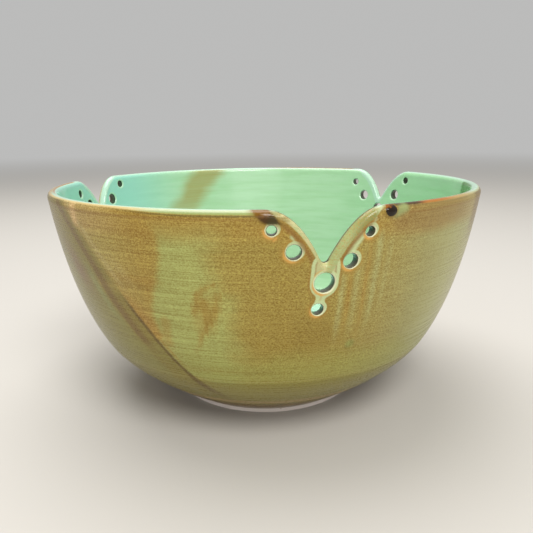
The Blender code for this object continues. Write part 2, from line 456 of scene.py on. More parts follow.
def spool_line(radius):
    """Half outline of a spool for a slab whose middle is at 0, from its inner end to its outer."""
    widest = math.radians(HOLE_ROUNDING_ANGLES[-1])
    flare = []
    for angle in map(math.radians, HOLE_ROUNDING_ANGLES):
        inset = HOLE_ROUNDING * (math.sin(widest) - math.sin(angle))
        flare.append((radius + HOLE_ROUNDING * (1 - math.cos(angle)), WALL / 2 - inset))
    end = (flare[-1][0] + SPOOL_REACH * math.tan(widest), WALL / 2 + SPOOL_REACH)
    outer = [(radius, 0), *flare, end, (0, end[1])]
    return [(out, -along) for out, along in reversed(outer[1:])] + outer


print(f"A spool stands {1000 * SPOOL_REACH:.1f} mm out of the wall on each side")

# %% Wrap the spools on the wall
SPOOL_SIDES = 36
OUTSIDE, INSIDE, BARE = 0, 1, 2  # the numbers of the finishes


def wrap_on_the_wall(spool, hole):
    """Takes the spool from the flat slab (thickness along Z, up along Y) to its place."""
    flat = read_points(spool)
    across, up, through = flat[:, 0], flat[:, 1], flat[:, 2]
    height = hole.height + up
    reach = outer_radius(height) - (WALL / 2 - through) / math.cos(RIM_FLARE)
    outwards = np.sqrt(reach**2 - across**2)
    turn = Matrix.Rotation(math.radians(hole.turn), 3, "Z")
    points = np.stack([across, -outwards, height], axis=1) @ np.array(turn).T
    write_points(spool, points)


def spools(sides, finishes):
    """All the spools as one object. Their inner halves get the pale glaze."""
    made = []
    for hole in HOLES:
        spool = spin(trace("spool", spool_line(hole.radius - HOLE_BUILD_UP)), sides)
        give(spool, *finishes)
        for face in spool.data.polygons:
            face.material_index = OUTSIDE if face.center.z > 0 else INSIDE
        wrap_on_the_wall(spool, hole)
        made.append(spool)
    select_only(*reversed(made))
    bpy.ops.object.join()
    bpy.ops.object.mode_set(mode="EDIT")
    bpy.ops.mesh.select_all(action="SELECT")
    bpy.ops.mesh.normals_make_consistent(inside=False)
    bpy.ops.object.mode_set(mode="OBJECT")
    return made[0]


print(f"{len(HOLES)} spools, each of {SPOOL_SIDES} sides")

# %% [markdown]
# ## One pot, three finishes
#
# Clay and glazes are fired into one surface, so the pot is shaped as one closed mesh whose faces
# carry three materials. The glazes meet on the crest of the lip and halfway through each hole.
# Afterwards the mesh is taken apart by material, so the pieces share their edges exactly.

# %% Shape a whole pot
def paint_faces(pot):
    """Gives each face of the freshly spun pot the number of its finish."""
    for face in pot.data.polygons:
        radius = math.hypot(face.center.x, face.center.y)
        height = face.center.z
        below_floor = height < FOOT_RECESS + FLOOR / 2 and radius < FOOT_RADIUS - SAME_POINT
        if height < BARE_FOOT or below_floor:
            face.material_index = BARE
        elif radius > outer_radius(height) - WALL / 2 / math.cos(RIM_FLARE):
            face.material_index = OUTSIDE
        else:
            face.material_index = INSIDE


def shape_pot(name, line, columns, finishes, hole_sides):
    pot = spin(trace(name, line), columns)
    give(pot, *finishes)
    paint_faces(pot)
    pull_down_the_lip(pot)
    raise_beads(pot)
    cutter = spools(hole_sides, finishes)
    apply_modifier(pot, "BOOLEAN", operation="DIFFERENCE", solver="EXACT", object=cutter)
    bpy.data.objects.remove(cutter)
    return pot


outside_finish = bpy.data.materials.new("olive_brown_glaze")
inside_finish = bpy.data.materials.new("pale_green_glaze")
bare_finish = bpy.data.materials.new("bare_stoneware")
FINISHES = (outside_finish, inside_finish, bare_finish)
COLUMNS = 384

glazed_line = np.concatenate(
    [
        [(0, BARE_FOOT)],
        OUTER_WALL,
        lip_arc(LIP_ANGLES),
        inner_wall(LOWER_STEPS, UPPER_STEPS, floor_steps=12),
    ]
)
whole_pot = shape_pot("whole_pot", glazed_line, COLUMNS, FINISHES, SPOOL_SIDES)
print(f"The whole pot has {count_triangles(whole_pot):,} triangles")

# %% [markdown]
# ## The two glazes
#
# Fired glaze is a glass skin about half a millimetre thick. The painted faces are separated into
# objects, and a Solidify modifier gives each skin its thickness towards the clay, so the outer
# faces stay where they are.

# %% Take the glazes off as skins and thicken them
def separate_by_finish(pot):
    """Splits the pot and returns {finish: piece}."""
    select_only(pot)
    bpy.ops.object.mode_set(mode="EDIT")
    bpy.ops.mesh.separate(type="MATERIAL")
    bpy.ops.object.mode_set(mode="OBJECT")
    split = {}
    for piece in bpy.context.selected_objects:
        finish = piece.data.materials[piece.data.polygons[0].material_index]
        give(piece, finish)
        split[finish] = piece
    return split


def thicken(piece, name):
    piece.name = name
    apply_modifier(piece, "SOLIDIFY", thickness=GLAZE, offset=-1)
    bpy.ops.object.shade_smooth_by_angle(angle=ROUND_SHADING)
    print(f"{name}: {count_triangles(piece):,} triangles")
    return piece


skins = separate_by_finish(whole_pot)
outside_skin = thicken(skins[outside_finish], "outside_glaze_skin")
inside_skin = thicken(skins[inside_finish], "inside_glaze_skin")
bpy.data.objects.remove(skins[bare_finish])

# %% [markdown]
# ## The clay
#
# The stoneware shows only on the foot ring and the underside, where the potter's loop tool left
# fine grooves. It is shaped like the pot, with a plainer wall and a finer foot. Its glazed faces
# are then drawn in under the glazes with shrink/fatten, which moves points along their normals.

# %% Shape the clay and draw it in under the glazes
GROOVE_PITCH, GROOVE_DEPTH = 0.0024, 0.00009
CLAY_COLUMNS, CLAY_HOLE_SIDES = 240, 20
CLAY_DEPTH = GLAZE + 0.00005  # how far the clay lies below the glazed surface
LEDGE = 0.00004  # height of the step between the bare foot and the glaze on it

clay_line = np.concatenate(
    [
        bare_foot(GROOVE_PITCH, GROOVE_DEPTH),
        [(FOOT_RADIUS, BARE_FOOT - LEDGE)],
        outer_wall(12, 30),
        lip_arc(LIP_ANGLES[1::2]),
        inner_wall(12, 30, floor_steps=6),
    ]
)
clay = shape_pot("clay_body", clay_line, CLAY_COLUMNS, FINISHES, CLAY_HOLE_SIDES)


def draw_in_glazed_faces(body):
    select_only(body)
    for vertex in body.data.vertices:
        vertex.select = False
    for edge in body.data.edges:
        edge.select = False
    for face in body.data.polygons:
        face.select = face.material_index != BARE
    bpy.ops.object.mode_set(mode="EDIT")
    bpy.ops.mesh.select_mode(type="FACE")
    bpy.ops.transform.shrink_fatten(value=-CLAY_DEPTH)
    bpy.ops.object.mode_set(mode="OBJECT")
    for face in body.data.polygons:
        face.material_index = 0
    give(body, bare_finish)
    bpy.ops.object.shade_smooth_by_angle(angle=ROUND_SHADING)


draw_in_glazed_faces(clay)
print(f"clay_body: {count_triangles(clay):,} triangles")

# %% Say what each piece stands for
for piece, node, slot in (
    (outside_skin, "outside_glaze", "olive_brown_glaze"),
    (inside_skin, "inside_glaze", "pale_green_glaze"),
    (clay, "stoneware_body", "bare_stoneware"),
):
    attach(piece, "root")
    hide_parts(node)
    print(f"{piece.name} stands for {node}")

# %% [markdown]
# ## Finishes from nodes
#
# Each finish is a node tree that works out a colour, a roughness and a height from the place on
# the pot. Images could be painted instead, but nodes stay sharp however near the viewer comes, and
# they follow the real sizes. So that a recipe reads like arithmetic, a small class wraps a node's
# output and lets it be added and multiplied. Most marks are a soft step or line in some measure,
# such as the height, used as the amount of a colour that is laid over the others.

# %% Let node outputs work like numbers
class Signal:
    """One output in a node tree. Signals add, subtract and multiply like numbers."""

    def __init__(self, tree, socket):
        self.tree, self.socket = tree, socket

    def math(self, operation, *others):
        return calculate(self.tree, operation, self, *others)

    def __rsub__(self, other):
        return calculate(self.tree, "SUBTRACT", other, self)

    __add__ = __radd__ = partialmethod(math, "ADD")
    __sub__ = partialmethod(math, "SUBTRACT")
    __mul__ = __rmul__ = partialmethod(math, "MULTIPLY")
    __truediv__ = partialmethod(math, "DIVIDE")
    __pow__ = partialmethod(math, "POWER")
    __abs__ = partialmethod(math, "ABSOLUTE")


print("Signals add, subtract, multiply, divide and rise to powers")

# %% Add nodes and feed them
def add_node(tree, kind, settings=(), **sockets):
    """A new node. Settings are its options. Sockets are its inputs, by name, with _ for spaces."""
    node = tree.nodes.new("ShaderNode" + kind)
    for name, value in dict(settings).items():
        setattr(node, name, value)
    for name, value in sockets.items():
        feed(node.inputs[name.replace("_", " ")], value)
    return node


def feed(socket, value):
    """Gives an input a link from a signal, or a plain value."""
    if isinstance(value, Signal):
        value.tree.links.new(value.socket, socket)
    else:
        socket.default_value = value


def feed_all(node, values):
    """Feeds a node's inputs in their order."""
    for socket, value in zip(node.inputs, values):
        feed(socket, value)
    return node


def calculate(tree, operation, *values):
    node = feed_all(add_node(tree, "Math", {"operation": operation}), values)
    return Signal(tree, node.outputs[0])


def vector_math(tree, operation, *values):
    node = feed_all(add_node(tree, "VectorMath", {"operation": operation}), values)
    return Signal(tree, node.outputs["Value" if operation == "DISTANCE" else "Vector"])


def vector(tree, *parts):
    return Signal(tree, feed_all(add_node(tree, "CombineXYZ"), parts).outputs[0])


def so_far(what, tree):
    print(f"{what}: {len(tree.nodes)} nodes so far")


print("Ready: add_node, feed, feed_all, calculate, vector_math, vector and so_far")

# %% Soft steps, lines and curves
def fade(signal, none, full):
    """0 where the signal is at none, 1 where it is at full, with a soft step between."""
    soft = {"interpolation_type": "SMOOTHSTEP"}
    node = add_node(signal.tree, "MapRange", soft, Value=signal, From_Min=none, From_Max=full)
    return Signal(signal.tree, node.outputs[0])


def line(signal, middle, half_width):
    """1 where the signal is at the middle, fading to 0 at half the width to either side."""
    return fade(abs(signal - middle), half_width, 0)


def near(signal, middle, none, full):
    """1 where the signal is within full of the middle, fading to 0 as far away as none."""
    return fade(abs(signal - middle), none, full)


def least(signals):
    return reduce(lambda one, other: one.math("MINIMUM", other), signals)


def from_segment(across, up, start, end):
    """Distance from a point to the straight piece between two places, in the same units."""
    run_across, run_up = end[0] - start[0], end[1] - start[1]
    share = (across - start[0]) * (run_across / (run_across**2 + run_up**2))
    share = share + (up - start[1]) * (run_up / (run_across**2 + run_up**2))
    share = share.math("MAXIMUM", 0).math("MINIMUM", 1)
    away_across = across - start[0] - share * run_across
    away_up = up - start[1] - share * run_up
    return (away_across * away_across + away_up * away_up) ** 0.5


def along_curve(signal, places):
    """What a smooth curve through a few (signal, value) places gives for this signal."""
    known, wanted = zip(*places)
    total, *factors = (float(factor) for factor in np.polyfit(known, wanted, len(places) - 1))
    for factor in factors:
        total = signal * total + factor
    return total


print("Ready: fade, line, near, least, from_segment and along_curve")

# %% Lay colours over each other
def paint(under, over, amount):
    """Lays one colour over another by an amount from 0 to 1."""
    node = add_node(amount.tree, "Mix", {"data_type": "RGBA"})
    for index, value in ((0, amount), (6, under), (7, over)):
        feed(node.inputs[index], (*value, 1) if isinstance(value, tuple) else value)
    return Signal(amount.tree, node.outputs[2])


def coats(colour, *layers):
    """Lays each (colour, amount) over the ones before it."""
    for over, amount in layers:
        colour = paint(colour, over, amount)
    return colour


def shade(colour, factor):
    """Multiplies a colour by a signal: above 1 is lighter, below 1 darker."""
    node = add_node(colour.tree, "VectorMath", {"operation": "SCALE"}, Vector=colour, Scale=factor)
    return Signal(colour.tree, node.outputs[0])


def grain(place, round_pot, up_pot, detail=2.0, roughness=0.5):
    """Noise from about -1 to 1, with so many features to a millimetre round and up the pot."""
    tree = place.tree
    stretched = vector_math(tree, "MULTIPLY", place, (round_pot, round_pot, up_pot))
    wanted = {"Scale": 1, "Detail": detail, "Roughness": roughness}
    node = add_node(tree, "TexNoise", Vector=stretched, **wanted)
    return (Signal(tree, node.outputs[0]) - 0.5) * 3


print("Ready: paint, coats, shade and grain")

# %% Make, place and fill a group
def new_group(name, inputs, outputs):
    """A shader node group. Returns it with its inputs as signals and its output node."""
    group = bpy.data.node_groups.new(name, "ShaderNodeTree")
    kinds = {"Colour": "NodeSocketColor", "Round_place": "NodeSocketVector"}
    for direction, names in (("INPUT", inputs), ("OUTPUT", outputs)):
        for socket in names:
            kind = kinds.get(socket, "NodeSocketFloat")
            group.interface.new_socket(socket, in_out=direction, socket_type=kind)
    signals = [Signal(group, socket) for socket in group.nodes.new("NodeGroupInput").outputs[:-1]]
    return group, signals, group.nodes.new("NodeGroupOutput")


def use_group(tree, group, *values):
    """Places a group, feeds it, and returns its outputs."""
    node = tree.nodes.new("ShaderNodeGroup")
    node.node_tree = group
    feed_all(node, values)
    found = [Signal(tree, socket) for socket in node.outputs]
    return found if len(found) > 1 else found[0]


def fill_group(leave, *values):
    feed_all(leave, values)
    print(f"{leave.id_data.name}: a group of {len(leave.id_data.nodes)} nodes")


print("Ready: new_group, use_group and fill_group")

# %% [markdown]
# ## Where a point lies on the pot
#
# Everything on this pot was done on a wheel or by dipping, so its marks follow the turn round the
# axis, the height, and the distance from the lip, from a hole or from a dip line. Node groups work
# these out in degrees and millimetres, once for both glazes.

# %% Turn, height and reach
MM = 1000
ROUND_RADIUS = 98  # a cylinder that the patterns are laid out on, in mm
MM_PER_DEGREE = math.radians(ROUND_RADIUS)


def place_in_mm(tree):
    position = Signal(tree, add_node(tree, "TexCoord").outputs["Object"])
    return vector_math(tree, "MULTIPLY", position, (MM,) * 3)


place_group, _, leave = new_group("place_on_pot", (), ("Turn", "Height", "Reach", "Round_place"))
parts = add_node(place_group, "SeparateXYZ", Vector=place_in_mm(place_group))
x, y, height = (Signal(place_group, socket) for socket in parts.outputs)
turn = x.math("ARCTAN2", y * -1) * math.degrees(1)
reach = (x * x + y * y) ** 0.5
around = calculate(place_group, "DIVIDE", ROUND_RADIUS, reach.math("MAXIMUM", 1))
fill_group(leave, turn, height, reach, vector(place_group, x * around, y * around, height))

# %% How far from the nearest hole
def degrees_from_front(degrees):
    """The same turn between -180 and 180, as the place on the pot gives it."""
    return math.degrees(wrapped(math.radians(degrees)))


def past_middle(turn, notch):
    """How far round the pot from the middle of a notch, in mm."""
    return (turn - degrees_from_front(notch.turn)) * MM_PER_DEGREE


hole_group, (turn, height), leave = new_group("from_a_hole", ("Turn", "Height"), ("Edge",))
edges = []
for notch in NOTCHES:
    place = vector(hole_group, past_middle(turn, notch), height, 0)
    for hole in holes_of(notch):
        centre = (math.radians(hole.turn - notch.turn) * ROUND_RADIUS, float(hole.height) * MM, 0)
        bore = (hole.radius - HOLE_BUILD_UP) * MM
        edges.append(vector_math(hole_group, "DISTANCE", place, centre) - bore)
fill_group(leave, least(edges))

# %% How far below the lip and how deep in the wall
TIP_EASE = 1.16  # mm: rounds the tip of each notch off
LOWEST_LIP = 0.07  # metres: from here up, one parabola tells where the wall is

lip_group, (turn, height, reach), leave = new_group(
    "from_the_lip", ("Turn", "Height", "Reach"), ("Below", "Depth", "Drop", "Side", "Tip")
)
drop, slope, side, tips = 0, 0, 0, []
for notch in NOTCHES:
    along = past_middle(turn, notch)
    eased = (along * along + TIP_EASE**2) ** 0.5
    rest = (1 - eased / (notch.half_width * MM)).math("MAXIMUM", 0.0001)
    steepness = rest ** (NOTCH_POWER - 1)
    drop = drop + rest * steepness * (notch.depth * MM)
    slope = slope + steepness * (NOTCH_POWER * notch.depth / notch.half_width)
    side = side + along / eased * fade(rest, 0, 0.05)
    tips.append(abs(along) + abs(height - (HEIGHT - float(notch_drop(notch, 0))) * MM))
below = (HEIGHT * MM - drop - height) / (slope * slope + 1) ** 0.5
heights = np.linspace(LOWEST_LIP, HEIGHT, 30)
curve = [float(factor) for factor in np.polyfit(heights * MM, outer_radius(heights) * MM, 2)]
wall = (height * curve[0] + curve[1]) * height + curve[2]
fill_group(leave, below, wall - reach, drop, side, least(tips))

# %% How far inside the run of glaze that goes round the two lower holes
LOBE_REACH, NECK_REACH, RING_REACH = 5.1, 1.7, 2.75  # mm, to either side of its middle
NECK_EASE, RING_EASE = 1.6, 1.2  # mm: they round off the corners where two of them meet

run_group, (turn, height), leave = new_group("from_the_run", ("Turn", "Height"), ("Run", "Large"))
runs, large_edges = [], []
for notch in NOTCHES:
    along = past_middle(turn, notch)
    large, low = holes_of(notch)[-2:]
    large_up, low_up = float(large.height) * MM, float(low.height) * MM
    low_along = math.radians(LOW_HOLE_TURN) * ROUND_RADIUS
    lobe = from_segment(along, height, (-0.2, large_up - 0.4), (0, large_up + 6)) - LOBE_REACH
    neck = from_segment(along, height, (0, large_up), (low_along, low_up + 1)) - NECK_REACH
    ring_start, ring_end = (low_along + 0.5, low_up + 0.6), (low_along + 0.2, low_up + 0.2)
    ring = from_segment(along, height, ring_start, ring_end) - RING_REACH
    lobe_and_neck = lobe.math("SMOOTH_MIN", neck, NECK_EASE)
    runs.append(lobe_and_neck.math("SMOOTH_MIN", ring, RING_EASE))
    from_large = from_segment(along, height, (0, large_up), (0, large_up + 0.1))
    large_edges.append(from_large - large.radius * MM)
fill_group(leave, least(runs), least(large_edges))

# %% [markdown]
# ## Marks of the wheel
#
# Fingers and brush leave fine lines round a thrown pot, and the glaze breaks into specks where it
# thins. Each is noise stretched to its own size: the lines are long round the pot and short up it,
# the specks are as wide as they are high.

# %% Wheel lines, specks and clouds
marks_group, (round_place,), leave = new_group(
    "wheel_marks", ("Round_place",), ("Lines", "Specks", "Freckles", "Clouds")
)
brushed_lines = grain(round_place, 0.022, 1.5, 1)
hair_lines = grain(round_place, 0.045, 3.2, 1)
broad_lines = grain(round_place, 0.012, 0.3, 1)
specks = grain(round_place, 1.5, 2, 3, 0.7)
freckles = grain(round_place, 2.6, 3, 2, 0.6)
clouds = grain(round_place, 0.045, 0.06, 2)
lines = brushed_lines * 0.6 + hair_lines * 0.5 + broad_lines * 0.15
fill_group(leave, lines, specks, freckles, clouds)

# %% [markdown]
# ## The lip
#
# The two glazes overlap on the lip. Where they flow thin over its crest they break to pale cream
# green, freckled with gold in the notches, and a thin dark line marks where the outer one ends on
# the inside. The same group colours the lip in both glazes, so that it runs through.

# %% Name the lip's colours
CREAM_GREEN = (0.34, 0.41, 0.17)
CREAM = (0.54, 0.48, 0.25)
RIM_MINT = (0.41, 0.6, 0.455)
RIM_CREAM = (0.41, 0.47, 0.27)
RIM_GOLD = (0.57, 0.44, 0.2)
RIM_GREEN = (0.27, 0.34, 0.12)
FRECKLE_GOLD = (0.33, 0.215, 0.055)
FLANK_BROWN = (0.22, 0.135, 0.035)
FLANK_OLIVE = (0.2, 0.22, 0.065)
# dark glaze pooled at the notch tip; in the bores it is also painted shade
DARK_POOL_AND_SHADE = (0.03, 0.03, 0.01)
DARK_OLIVE = (0.105, 0.085, 0.022)
LIP_ORANGE = (0.33, 0.105, 0.004)
LIP_BROWN = (0.05, 0.015, 0.001)
LIP_TAN = (0.36, 0.24, 0.075)
print(f"The lip goes from {DARK_POOL_AND_SHADE}, where glaze pools, to {CREAM}, where it is thin")

# %% Where the bands on the lip lie
LIP_INPUTS = ("Colour", "Turn", "Below", "Depth", "Drop", "Side", "Tip", "Freckles", "Lines")
lip_paint_group, signals, leave = new_group("lip_colours", LIP_INPUTS, ("Colour", "Band"))
colour, turn, below, depth, drop, side, tip, freckles, lines = signals
in_notch = fade(drop, 0.02, 1.2)
right_flank = in_notch * fade(side, -0.4, 0.6)
left_flank = in_notch - right_flank
outer_half = fade(depth, 2.6, 2)
at_front = near(turn, 0, 60, 40)
uneven = freckles * 0.2 + lines * 0.15
wide_rim = near(turn, -21, 26, 5)
rim_width = 0.55 + outer_half * wide_rim
band_width = rim_width * (1 - in_notch) + in_notch * 1.6 + right_flank * 1.1
band = fade(below + uneven - band_width, 0.3, -0.3)
so_far("bands on the lip", lip_paint_group)

# %% The flanks of the notches and the rim between them
gold_freckles = right_flank * 0.75 + left_flank * fade(drop, 3, 12) * 0.3
brown_freckles = left_flank * fade(drop, 4.2, 1.8) * fade(freckles - lines, -0.8, 0.4)
olive_lines = right_flank * fade(lines * 0.5 - freckles, 0.45, 0.9) * fade(drop, 14, 5)
flank = coats(
    CREAM_GREEN,
    (CREAM, fade(freckles + lines * 0.6 + left_flank * 0.5, -0.1, 0.9)),
    (FLANK_OLIVE, right_flank * fade(drop, 9.5, 2.5) * 0.9),
    (FRECKLE_GOLD, gold_freckles * fade(freckles, -0.3, 0.6)),
    (FLANK_BROWN, brown_freckles * 0.8),
    (DARK_OLIVE, olive_lines * 0.8),
    (DARK_OLIVE, in_notch * fade(depth, 2.2, 3.1) * 0.55),
    (RIM_MINT, fade(depth, 0.8, 2.2) * (1 - at_front)),
)
rim = paint(RIM_CREAM, RIM_GOLD, fade(turn + lines * 2, -32, -42))
rim = paint(rim, RIM_GREEN, fade(below + uneven, 0.6, 1.1) * wide_rim)
rim = paint(RIM_MINT, rim, outer_half * fade(below, 0.06, 0.25))
so_far("flanks and rim", lip_paint_group)

# %% The brown lip past each notch, and all of it together
brown_lip = 0
for notch in NOTCHES:
    past_notch = turn - degrees_from_front(notch.turn)
    brown_lip = fade(past_notch, 12, 14) * fade(past_notch, 50, 36) + brown_lip
on_rim = (1 - in_notch) * brown_lip
from_front = abs(turn - 12) + lines * 3
lip_shade = paint(LIP_BROWN, LIP_ORANGE, fade(from_front, 8, 12))
lip_shade = paint(lip_shade, LIP_TAN, fade(from_front, 16, 25))
orange_line = line(depth + uneven * 0.4, 3.15, 0.5) * fade(below, 1.4, 0.8)
under_band = line(below + uneven, band_width + 0.45, 0.5) * outer_half * (1 - in_notch)
crest_line = line(depth + left_flank * 0.7 + uneven * 0.4, 2.9, 0.75)
crest_line = crest_line * fade(below, 3.4, 2.4) * at_front
pool = fade(tip, 3.2, 1.6) * fade(depth, 1.6, 2.3) * fade(depth, 5, 4.4) * at_front
painted = coats(
    colour,
    (paint(rim, flank, in_notch), band * 0.92),
    (lip_shade, on_rim * fade(below + uneven, 0.95, 0.5) * fade(depth, 3.6, 3.3) * 0.95),
    (LIP_ORANGE, on_rim * orange_line * 0.8),
    (DARK_OLIVE, under_band * (0.3 + wide_rim * 0.55)),
    (DARK_OLIVE, crest_line * (0.3 + in_notch * 0.55) * (1 - on_rim)),
    (DARK_POOL_AND_SHADE, pool * 0.95),
)
fill_group(leave, painted, band.math("MAXIMUM", on_rim * fade(below, 2, 1.5)))

# %% [markdown]
# ## The outside glaze
#
# It is one glaze in several dips. Thick, it stays olive green. Thin, it breaks to brown and gold.
# A slanting edge on the left is where two dips overlap. The recipe goes from large to small: a
# strip of colours round the pot, the zones, the lines of the dips, the wheel marks, and then what
# the glaze does at the lip and the holes.

# %% Start and end a finish
def start_glaze(finish):
    """A glaze's node tree, with all that the groups tell about a point on the pot."""
    finish.use_nodes = True
    tree = finish.node_tree
    turn, height, reach, round_place = place = use_group(tree, place_group)
    marks = use_group(tree, marks_group, round_place)
    return tree, place, marks, use_group(tree, lip_group, turn, height, reach)


def end_finish(tree, colour, roughness, relief, strength, depth):
    """Feeds the shader a colour, a roughness and a bump as deep as this, in metres."""
    shader = tree.nodes["Principled BSDF"]
    bump = add_node(tree, "Bump", Strength=strength, Distance=depth, Height=relief)
    feed(shader.inputs["Base Color"], colour)
    feed(shader.inputs["Roughness"], roughness)
    feed(shader.inputs["Normal"], Signal(tree, bump.outputs[0]))
    so_far("finish", tree)
    return shader


print("Ready: start_glaze and end_finish")

# %% Measures on the outside
tree, place, (lines, specks, freckles, clouds), lip_place = start_glaze(outside_finish)
turn, height, _, round_place = place
below, _, drop, side, _ = lip_place
across = turn * MM_PER_DEGREE


def stroke(start, end, half_width=0):
    """Distance to a brush stroke between two places in mm, less half its width."""
    return from_segment(across, height, start, end) - half_width


def up(none, full):
    """0 at one height in mm, and 1 at another."""
    return fade(height, none, full)


so_far("measures", tree)

# %% Colours round the pot
ROUND_COLOURS = (  # degrees from the front, and the red, green and blue in thousandths
    (-180, 290, 245, 65), (-150, 335, 325, 110), (-128, 310, 235, 58), (-112, 280, 185, 42),
    (-100, 310, 265, 85), (-80, 270, 215, 75), (-60, 330, 245, 60), (-49, 350, 264, 66),
    (-38, 338, 230, 45), (-20, 298, 220, 46), (-8, 288, 204, 40), (5, 295, 220, 49),
    (15, 300, 240, 66), (25, 300, 272, 96), (36, 345, 337, 134), (50, 340, 322, 120),
    (64, 330, 265, 70), (80, 290, 200, 42), (100, 330, 285, 85), (125, 310, 225, 50),
    (150, 350, 325, 105), (180, 290, 245, 65),
)
strip = add_node(tree, "ValToRGB", Fac=(turn + clouds * 2.5 + 180) / 360)
stops = strip.color_ramp.elements
while len(stops) < len(ROUND_COLOURS):
    stops.new(0.5)
for stop, (degrees, *shown) in zip(stops, ROUND_COLOURS):
    stop.position = (degrees + 180) / 360
    stop.color = (*(part / 1000 for part in shown), 1)
glaze = Signal(tree, strip.outputs[0])
print(f"{len(ROUND_COLOURS)} colours round the pot")

# %% The olive zone, where the glaze is thicker
OLIVE = (0.336, 0.346, 0.102)
SIENNA = (0.34, 0.205, 0.036)
OLIVE_LEFT_EDGE = ((95, -34.4), (77, -34.9), (62, -38.2), (50, -36.6))  # mm up, and degrees

past_left_edge = turn - along_curve(height, OLIVE_LEFT_EDGE) + clouds * 0.7 + lines * 0.4
past_left_edge = past_left_edge + up(52, 44) * 12
right_edge = turn + clouds * 4 + lines * 2 - up(78, 62) * 4
olive_zone = fade(past_left_edge, -1.2, 1.2) * fade(right_edge, -18, -26.5)
olive_zone = olive_zone * fade(height + clouds + lines, 99, 91)
golden_tongue = stroke((-60.5, 59), (-61.5, 50), 1.2) + lines
glaze = coats(
    glaze,
    (OLIVE, olive_zone * 0.92),
    (SIENNA, fade(golden_tongue, 2.2, -0.5) * 0.45),
)
so_far("olive zone", tree)

# %% The brown flame, brushed on
FLAME = (0.29, 0.175, 0.026)
DARK_BROWN = (0.215, 0.135, 0.02)
FLAME_STROKES = (  # from, to and half width, in mm round and up the pot
    ((-38.1, 75.3), (-42.8, 73), 0.3),
    ((-42.8, 73), (-45, 70.5), 0.7),
    ((-45, 70.5), (-46.8, 64), 1),
    ((-43.2, 67.5), (-42, 61), 2),
    ((-37.4, 71), (-38.6, 65.5), 0.7),
    ((-38.6, 65.5), (-42, 60), 1.6),
    ((-42, 60), (-45.2, 54.5), 0.8),
    ((-45.2, 54.5), (-50, 46), 0.6),
)

brush_marks = grain(round_place, 0.85, 0.07, 2, 0.6)
flame = 20
for start, end, half_width in FLAME_STROKES:
    flame = stroke(start, end, half_width).math("SMOOTH_MIN", flame, 1.2)
flame = fade(flame + specks * 0.6 + lines * 0.6 + brush_marks * 1.3, 1.7, -1.1)
left_core = fade(stroke((-46.3, 67), (-46.6, 64), 0.3) + brush_marks + specks, 2, -0.4)
right_core = fade(stroke((-39.5, 65.5), (-43, 58.5), 0.2) + brush_marks * 2, 1.8, -0.6)
glaze = coats(
    glaze,
    (SIENNA, fade(stroke((-41.5, 67), (-43.5, 60)), 8, 1) * 0.4),
    (FLAME, flame * up(40, 56) * 0.66),
    (DARK_BROWN, left_core.math("MAXIMUM", right_core) * 0.28),
)
print(f"The flame has {len(FLAME_STROKES)} strokes")

# %% Under the rim
UPPER_GOLD = (0.43, 0.3, 0.1)
RIGHT_BROWN = (0.185, 0.11, 0.025)
BEAD_TAN = (0.24, 0.15, 0.045)

under_rim = fade(height + clouds * 1.5, 87.5, 94)
right_end = fade(turn, 43, 48) * fade(turn, 66, 58) * fade(height + clouds * 2, 79, 90)
right_of_bead = fade(turn, 12, 16) * fade(turn, 46, 34)
gold_band = line(height + clouds * 0.8, 74.5, 2.5) * near(turn, -60, 27, 23)
glaze = coats(
    glaze,
    (DARK_BROWN, near(turn, -1, 7.5, 2) * line(height, 55, 13) * 0.35),
    (SIENNA, under_rim * 0.5),
    (UPPER_GOLD, under_rim * near(turn, -80, 42, 28) * 0.7),
    (RIGHT_BROWN, right_end * 0.75),
    (BEAD_TAN, under_rim * right_of_bead * 0.6),
    (SIENNA, gold_band * 0.4),
)
so_far("under the rim", tree)

# %% Streaks, and the green low down
STREAK_GREEN = (0.35, 0.345, 0.135)
SPOT_GREEN = (0.2, 0.235, 0.06)
LOW_GREEN = (0.318, 0.312, 0.076)
LOW_BROWN = (0.285, 0.24, 0.055)
PALE_STREAKS = ((4.1, 76, 56, 0.5), (7.4, 82, 60, 0.4), (11.6, 91, 62, 0.6), (14.2, 88, 66, 0.3))
DARK_STREAKS = ((5.8, 80, 58), (9.5, 88, 58))  # turn, top and bottom

glaze = shade(glaze, 1 + grain(round_place, 0.42, 0.012, 2, 0.6) * 0.05)
streak_turn = turn + clouds * 0.25
for middle, top, bottom, amount in PALE_STREAKS:
    pale_streak = line(streak_turn, middle, 1.2) * fade(height + clouds * 3, top + 4, top - 3)
    pale_streak = pale_streak * fade(height + clouds * 5, bottom - 14, bottom + 8)
    glaze = paint(glaze, STREAK_GREEN, pale_streak * amount)
for middle, top, bottom in DARK_STREAKS:
    dark_streak = line(streak_turn, middle, 0.9) * line(height, (top + bottom) / 2, top - bottom)
    glaze = paint(glaze, SIENNA, dark_streak * 0.55)
spot = fade(stroke((14.2, 48.6), (14.8, 48.8)) + specks * 0.5, 2.6, 0.8)
glaze = coats(
    glaze,
    (SPOT_GREEN, spot * 0.6),
    (LOW_GREEN, fade(height + clouds * 4 + lines * 2 + specks * 2, 50, 36) * 0.65),
    (LOW_BROWN, line(height + clouds, 37.8, 2.2) * near(turn, -40, 36, 28) * 0.5),
)
print(f"{len(PALE_STREAKS)} pale streaks and {len(DARK_STREAKS)} dark ones")

